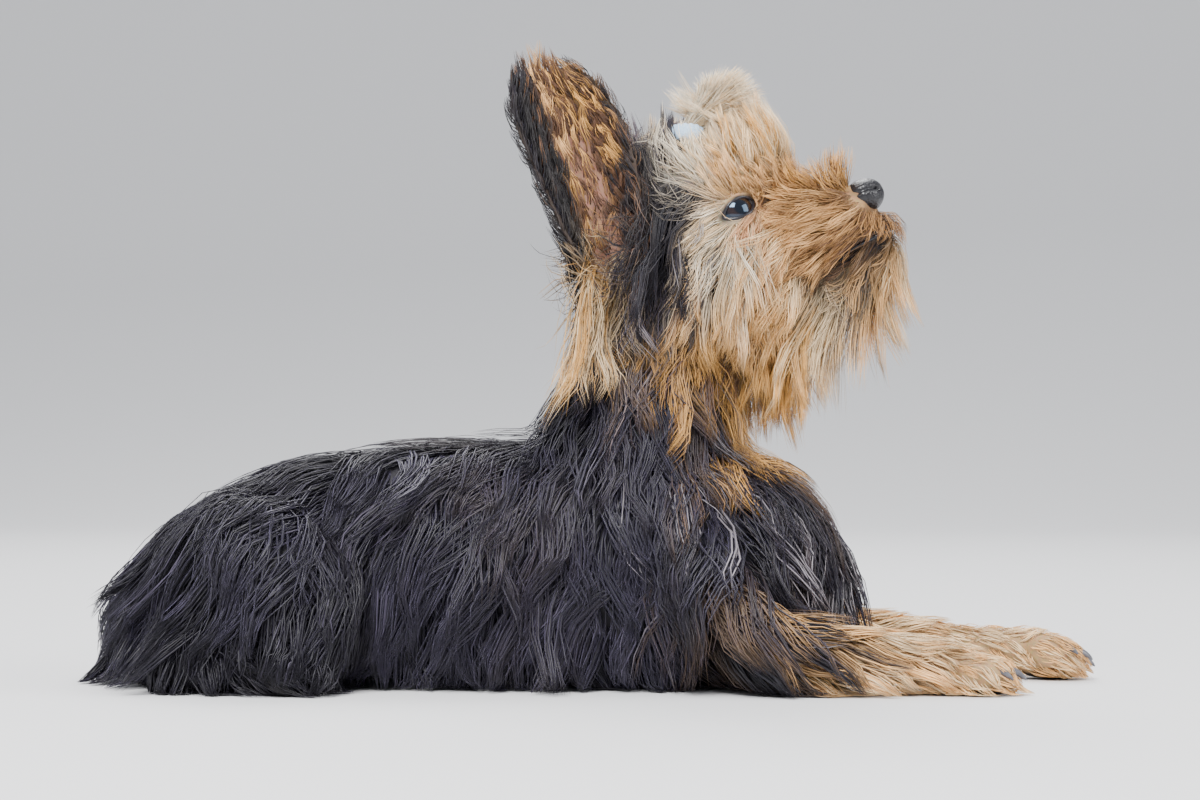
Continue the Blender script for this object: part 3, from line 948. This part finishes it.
def cord(line, radius, sides=8, closed=False):
    """Round cord along a line of points: ring = point + r (side cos a + up sin a), with the ends brought in."""
    line = np.asarray(line, float)
    count = len(line)
    if closed:
        along = unit(np.roll(line, -1, axis=0) - np.roll(line, 1, axis=0))
    else:
        along = unit(np.gradient(line, axis=0))
    middle = line.mean(axis=0)
    side = unit(np.cross(along, line - middle + 1e-6))
    up = np.cross(side, along)
    a = np.linspace(0, 2 * math.pi, sides, endpoint=False)
    size = np.broadcast_to(np.asarray(radius, float), (count,))[:, None, None]
    ring = line[:, None] + (side[:, None] * np.cos(a)[None, :, None] + up[:, None] * np.sin(a)[None, :, None]) * size
    points = ring.reshape(-1, 3)
    faces = grid_faces(count, sides, 0)
    if closed:
        last = (count - 1) * sides
        faces += [(last + k, last + (k + 1) % sides, (k + 1) % sides, k) for k in range(sides)]
    else:
        faces += [tuple(range(sides))[::-1], tuple(range((count - 1) * sides, count * sides))]
    return points, faces


def outward(piece):
    """Turns every face of a closed piece outwards."""
    work = bmesh.new()
    work.from_mesh(piece.data)
    bmesh.ops.recalc_face_normals(work, faces=work.faces)
    work.to_mesh(piece.data)
    work.free()


for side, name in ((-1, "right"), (1, "left")):
    centre, gaze, across, up = eye_axes(side)
    a = np.linspace(0, 2 * math.pi, 48, endpoint=False)
    wide = np.cos(a) * EYE_HALF_WIDTH * 0.98
    high = np.sin(a) * EYE_HALF_HEIGHT * 0.98 * (1 - 0.35 * np.cos(a) ** 4)
    ahead = np.sqrt(np.maximum((EYE_RADIUS + 0.35) ** 2 - wide**2 - high**2, 4.0))
    line = centre + across * wide[:, None] + up * high[:, None] + gaze * ahead[:, None]
    piece = put("eye_rim_" + name, *cord(line, LID_CORD + 0.12 * (np.sin(a) < 0), closed=True), rim_skin)
    outward(piece)

# The nose
# Black pebbled leather, wider than tall, with a comma-shaped nostril opening to each side and a groove between.
nose_skin = bpy.data.materials.new("nose_skin")
nose_skin.use_nodes = True
nodes, links = nose_skin.node_tree.nodes, nose_skin.node_tree.links
shader = nodes["Principled BSDF"]
where = nodes.new("ShaderNodeTexCoord")
pebble = nodes.new("ShaderNodeTexVoronoi")
pebble.inputs["Scale"].default_value = 1400.0
links.new(where.outputs["Object"], pebble.inputs["Vector"])
bump = nodes.new("ShaderNodeBump")
bump.inputs["Strength"].default_value = 0.55
bump.inputs["Distance"].default_value = 0.0003
links.new(pebble.outputs["Distance"], bump.inputs["Height"])
links.new(bump.outputs["Normal"], shader.inputs["Normal"])
shader.inputs["Base Color"].default_value = (0.007, 0.0065, 0.009, 1.0)
shader.inputs["Roughness"].default_value = 0.30


def nose_shape(around=96, rings=64):
    """Egg of the nose's radii, drawn in by a bell at each nostril, its slit to the side, and the middle groove."""
    v = np.linspace(0.0, math.pi, rings + 2)[1:-1]
    u = np.linspace(0.0, 2 * math.pi, around, endpoint=False)
    ball = np.stack([np.cos(v)[:, None] * np.ones(around)[None], np.cos(u)[None] * np.sin(v)[:, None], np.sin(u)[None] * np.sin(v)[:, None]], axis=-1)
    ball = np.vstack([[[1.0, 0, 0]], ball.reshape(-1, 3), [[-1.0, 0, 0]]])
    local = ball * np.array(NOSE_RADII)
    x, y, z = local.T
    y_out = np.abs(y)
    pit = np.exp(-(((y_out - 3.7) / 1.5) ** 2 + ((z - 0.4) / 1.25) ** 2)) * (x > 0)
    slit = np.exp(-(((y_out - 6.2) / 2.0) ** 2 + ((z - 0.9 - 0.25 * (y_out - 4)) / 0.7) ** 2)) * (x > -3.5)
    groove = np.exp(-((y / 0.5) ** 2)) * (z < 1.5) * (x > 0)
    local = local - ball * (3.2 * pit + 1.6 * slit + 0.5 * groove)[:, None]
    points = HEAD_CENTRE + (local + np.array(NOSE_CENTRE)) @ head_turn().T
    faces = [(0, 1 + k, 1 + (k + 1) % around) for k in range(around)]
    faces += [tuple(reversed(face)) for face in grid_faces(rings, around, 1)]
    last = 1 + (rings - 1) * around
    faces += [(len(points) - 1, last + (k + 1) % around, last + k) for k in range(around)]
    return points, faces


nose = put("nose_leather", *nose_shape(), nose_skin)
outward(nose)
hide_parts("nose")

# The lips
# Two thin dark lips meet along the closed mouth; they run from one corner round the muzzle to the other.
lip_count = 40
angle = np.radians(np.linspace(-112.0, 112.0, lip_count))
height = MOUTH_FRONT_HEIGHT - MOUTH_DROP * (1 - np.cos(angle * 0.9))
for name, offset in (("upper", 0.75), ("lower", -0.75)):
    line = []
    for a, z in zip(angle, height + offset):
        far = on_head(MOUTH_PIVOT[0] + 60 * math.cos(a), 60 * math.sin(a), z)
        toward = on_head(MOUTH_PIVOT[0], 0, z) - far
        hit = skin_tree.ray_cast(Vector(far * MM), Vector(toward).normalized())[0]
        if hit is not None:
            line.append(np.array(hit) / MM - toward / np.linalg.norm(toward) * 0.1)
    taper = 0.75 * np.clip(np.sin(np.linspace(0.1, math.pi - 0.1, len(line))) * 3, 0.3, 1)
    piece = put("lip_" + name, *cord(line, taper), rim_skin)
    outward(piece)

# The claws
# Short curved claws of blue-grey horn, four to a paw, each out of the hair of its toe and clear of the floor.
horn = bpy.data.materials.new("horn")
horn.use_nodes = True
nodes, links = horn.node_tree.nodes, horn.node_tree.links
shader = nodes["Principled BSDF"]
where = nodes.new("ShaderNodeTexCoord")
layers = nodes.new("ShaderNodeTexNoise")
layers.inputs["Scale"].default_value = 500.0
links.new(where.outputs["Object"], layers.inputs["Vector"])
ramp = nodes.new("ShaderNodeValToRGB")
ramp.color_ramp.elements[0].color = (0.030, 0.030, 0.036, 1.0)
ramp.color_ramp.elements[1].color = (0.16, 0.16, 0.185, 1.0)
links.new(layers.outputs["Fac"], ramp.inputs["Fac"])
links.new(ramp.outputs["Color"], shader.inputs["Base Color"])
shader.inputs["Roughness"].default_value = 0.34
paw_names = ("forepaw_right", "forepaw_left", "hindpaw_right", "hindpaw_left")
for paw_name, (place, heading, roll, k) in zip(paw_names, PAWS):
    for number_of_toe, (forward, left, splay) in enumerate(TOES):
        t = np.linspace(0, 1, 9)
        local = np.stack([forward + 5.2 + 6.2 * t, left + splay * t, 8.4 - 3.2 * t**2], axis=1) * k
        line = np.array(place) + local @ paw_turn(heading, roll).T
        radius = np.interp(t, (0, 0.5, 0.85, 1.0), (1.5, 1.2, 0.7, 0.2)) * k
        name = f"claw_{paw_name}_{number_of_toe + 1}"
        piece = put("horn_of_" + name, *cord(line, radius, 12), horn)
        outward(piece)
        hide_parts(name)

# The topknot
# The forelock is gathered through the tie and bursts out above it, upwards and forwards, into a soft pale puff.
# Each hair is a cubic curve: from the stem, along the tie's own line, out to the puff and over its edge.
TIE_CENTRE = (11.4, -9.3, 22.6)
TIE_AIM = (14.0, -8.0, 28.0)
PUFF_CENTRE = (29.0, -2.0, 28.0)
PUFF_RADII = (11.5, 12.0, 10.5)
TOPKNOT_HAIRS = 3500
tie_centre = on_head(*TIE_CENTRE)
tie_axis = on_head(*TIE_AIM) - tie_centre
tie_axis /= np.linalg.norm(tie_axis)
tie_side = np.cross(tie_axis, head_turn()[:, 0])
tie_side /= np.linalg.norm(tie_side)
tie_up = np.cross(tie_axis, tie_side)
hairs = TOPKNOT_HAIRS
locks = rng.normal(0, 1, (hairs // 40, 3))
ball = unit(locks[rng.integers(0, len(locks), hairs)] + rng.normal(0, 0.22, (hairs, 3)) + (0.25, 0, 0.55))
a, r = rng.uniform(0, 2 * math.pi, hairs), 3.6 * np.sqrt(rng.random(hairs))
start = tie_centre + tie_side * (r * np.cos(a))[:, None] + tie_up * (r * np.sin(a))[:, None] - tie_axis * 3.0
reach = rng.uniform(0.55, 1.0, hairs)[:, None]
middle = start + tie_axis * rng.uniform(6, 9, hairs)[:, None]
out_to = on_head(*PUFF_CENTRE) + (ball * np.array(PUFF_RADII) * reach) @ head_turn().T
over = out_to + (unit(ball + (0.35, 0, -0.55)) * rng.uniform(2.0, 5.5, hairs)[:, None]) @ head_turn().T
t = np.linspace(0, 1, COAT_STEPS + 1)[:, None, None]
through = out_to * 1.25 - middle * 0.25
path = start * (1 - t) ** 3 + 3 * middle * t * (1 - t) ** 2 + 3 * through * t**2 * (1 - t) + over * t**3
height, out = height_over_skin(path.reshape(-1, 3))
path = path + (out * np.clip(2.0 - height, 0, 6)[:, None]).reshape(path.shape)
points, faces = blades(path, rng.uniform(0.22, 0.42, hairs), 5, rng)
pale = np.where(rng.random(hairs)[:, None] < 0.08, ASH, np.where(rng.random(hairs)[:, None] < 0.5, CREAM, PALE))
tints = (pale * rng.uniform(0.75, 1.1, (hairs, 1)))[:, None] * np.append(np.repeat(np.linspace(0.55, 1.1, 6)[:-1], 3), 1.1)[None, :, None]
crown = np.full(hairs, GROUPS.index("crown"))
mesh = tuft_mesh("coat_topknot", points, faces, atlas_place(start, crown), tints)
mesh.materials.append(light_hair)
topknot = bpy.data.objects.new("coat_topknot", mesh)
bpy.context.scene.collection.objects.link(topknot)
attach(topknot, "root")
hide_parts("topknot")

# The hair tie
# A small band of pale blue elastic cloth, gathered into ribs round the forelock.
TIE_RADIUS = 5.1
TIE_HALF = (1.3, 2.7)
TIE_RIBS = 15
u, v = np.meshgrid(np.linspace(0, 2 * math.pi, 180, endpoint=False), np.linspace(0, 2 * math.pi, 28, endpoint=False), indexing="ij")
rib = 1 + 0.16 * np.abs(np.sin(u * TIE_RIBS / 2 + 0.25 * np.sin(v)))
from_axis = TIE_RADIUS + TIE_HALF[0] * rib * np.cos(v)
points = tie_centre + tie_side * (from_axis * np.cos(u))[..., None] + tie_up * (from_axis * np.sin(u))[..., None]
points = points + tie_axis * (TIE_HALF[1] * rib * np.sin(v))[..., None]
faces = grid_faces(180, 28, 0) + [(179 * 28 + k, 179 * 28 + (k + 1) % 28, (k + 1) % 28, k) for k in range(28)]
cloth = bpy.data.materials.new("tie_cloth")
cloth.use_nodes = True
nodes, links = cloth.node_tree.nodes, cloth.node_tree.links
shader = nodes["Principled BSDF"]
where = nodes.new("ShaderNodeTexCoord")
weave = nodes.new("ShaderNodeTexNoise")
weave.inputs["Scale"].default_value = 1800.0
links.new(where.outputs["Object"], weave.inputs["Vector"])
ramp = nodes.new("ShaderNodeValToRGB")
ramp.color_ramp.elements[0].position = 0.35
ramp.color_ramp.elements[0].color = (0.36, 0.53, 0.74, 1.0)
ramp.color_ramp.elements[1].position = 0.7
ramp.color_ramp.elements[1].color = (0.56, 0.73, 0.90, 1.0)
links.new(weave.outputs["Fac"], ramp.inputs["Fac"])
links.new(ramp.outputs["Color"], shader.inputs["Base Color"])
bump = nodes.new("ShaderNodeBump")
bump.inputs["Strength"].default_value = 0.5
bump.inputs["Distance"].default_value = 0.0003
links.new(weave.outputs["Fac"], bump.inputs["Height"])
links.new(bump.outputs["Normal"], shader.inputs["Normal"])
shader.inputs["Roughness"].default_value = 0.8
shader.inputs["Sheen Weight"].default_value = 0.3
tie = put("tie_band", points.reshape(-1, 3), faces, cloth)
outward(tie)
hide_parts("hair_tie")

# The studio
# A plain pale floor, soft light from above and both sides, and the camera level with the dog, at its right side.
floor_mesh = bpy.data.meshes.new("floor")
SWEEP_START = 1.4
SWEEP_RADIUS = 1.6
sweep = [(-4.0, 0.0)] + [(SWEEP_START + SWEEP_RADIUS * math.sin(a), SWEEP_RADIUS * (1 - math.cos(a))) for a in np.radians(np.linspace(0, 90, 31))]
sweep.append((SWEEP_START + SWEEP_RADIUS, 4.0))
floor_mesh.from_pydata([(x, y, z) for y, z in sweep for x in (-5.0, 5.0)], [], [(2 * i, 2 * i + 1, 2 * i + 3, 2 * i + 2) for i in range(len(sweep) - 1)])
floor_mesh.shade_smooth()
floor = bpy.data.objects.new("floor", floor_mesh)
bpy.context.scene.collection.objects.link(floor)
stone = bpy.data.materials.new("floor_grey")
stone.use_nodes = True
stone.node_tree.nodes["Principled BSDF"].inputs["Base Color"].default_value = (0.74, 0.74, 0.75, 1.0)
stone.node_tree.nodes["Principled BSDF"].inputs["Roughness"].default_value = 0.85
floor_mesh.materials.append(stone)
world = bpy.data.worlds.new("studio")
bpy.context.scene.world = world
world.use_nodes = True
world.node_tree.nodes["Background"].inputs["Color"].default_value = (0.70, 0.72, 0.76, 1.0)
world.node_tree.nodes["Background"].inputs["Strength"].default_value = 0.85
for name, place, size, watts in (
    ("key", (-0.2, -1.1, 1.4), 0.8, 62.0),
    ("front", (1.4, -0.3, 0.8), 0.9, 18.0),
    ("back", (-0.2, 1.0, 1.3), 1.0, 26.0),
):
    lamp = bpy.data.lights.new(name, "AREA")
    lamp.size = size
    lamp.energy = watts
    holder = bpy.data.objects.new(name, lamp)
    holder.location = place
    holder.rotation_euler = (Vector((0.0, 0.0, 0.1)) - Vector(place)).to_track_quat("-Z", "Y").to_euler()
    bpy.context.scene.collection.objects.link(holder)
CAMERA_AIM = (0.0054, 0.0, 0.102)
CAMERA_AZIMUTH = math.radians(4.0)
CAMERA_DISTANCE = 1.2
lens = bpy.data.cameras.new("camera")
lens.lens = 100.0
lens.sensor_width = 36.0
camera = bpy.data.objects.new("camera", lens)
gaze = Vector((-math.sin(CAMERA_AZIMUTH), math.cos(CAMERA_AZIMUTH), 0.0))
camera.location = Vector(CAMERA_AIM) - gaze * CAMERA_DISTANCE
camera.rotation_euler = gaze.to_track_quat("-Z", "Y").to_euler()
bpy.context.scene.collection.objects.link(camera)
bpy.context.scene.camera = camera
